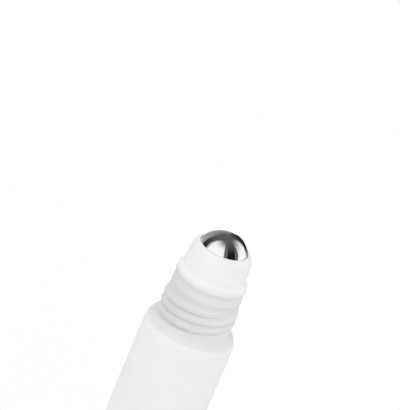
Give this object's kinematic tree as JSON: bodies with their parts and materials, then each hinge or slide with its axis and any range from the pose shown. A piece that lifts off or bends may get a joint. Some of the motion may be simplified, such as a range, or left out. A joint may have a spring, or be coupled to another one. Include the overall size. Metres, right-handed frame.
{
  "type": "roll on bottle",
  "caption": "Slim white roll on bottle with a round shoulder, a threaded neck and a steel ball that rolls in a snap-in ball holder.",
  "frame": {"origin": "centre of the base, on the surface that the bottle stands on", "axes": "+Z along the bottle's axis, from the base up to the ball; +X and +Y are level and alike"},
  "size_m": [0.0195, 0.0194, 0.0719],
  "materials": {
    "bottle_plastic": "satin white moulded plastic, a little greyer on the bare neck and the top of the shoulder",
    "holder_plastic": "smooth white moulded plastic with a soft sheen",
    "polished_steel": "mirror polished steel"
  },
  "bodies": {
    "bottle": {"bottle": "bottle_plastic"},
    "ball_holder": {"ball_holder": "holder_plastic"},
    "roller_ball": {"roller_ball": "polished_steel"}
  },
  "joints": [
    {"name": "holder_pull", "type": "slide", "parent": "bottle", "child": "ball_holder", "axis": [0, 0, 1], "range_m": [0, 0.015]},
    {"name": "ball_roll", "type": "hinge", "parent": "ball_holder", "child": "roller_ball", "pos_m": [0, 0, 0.06635], "axis": [1, 0, 0], "continuous": true}
  ]
}
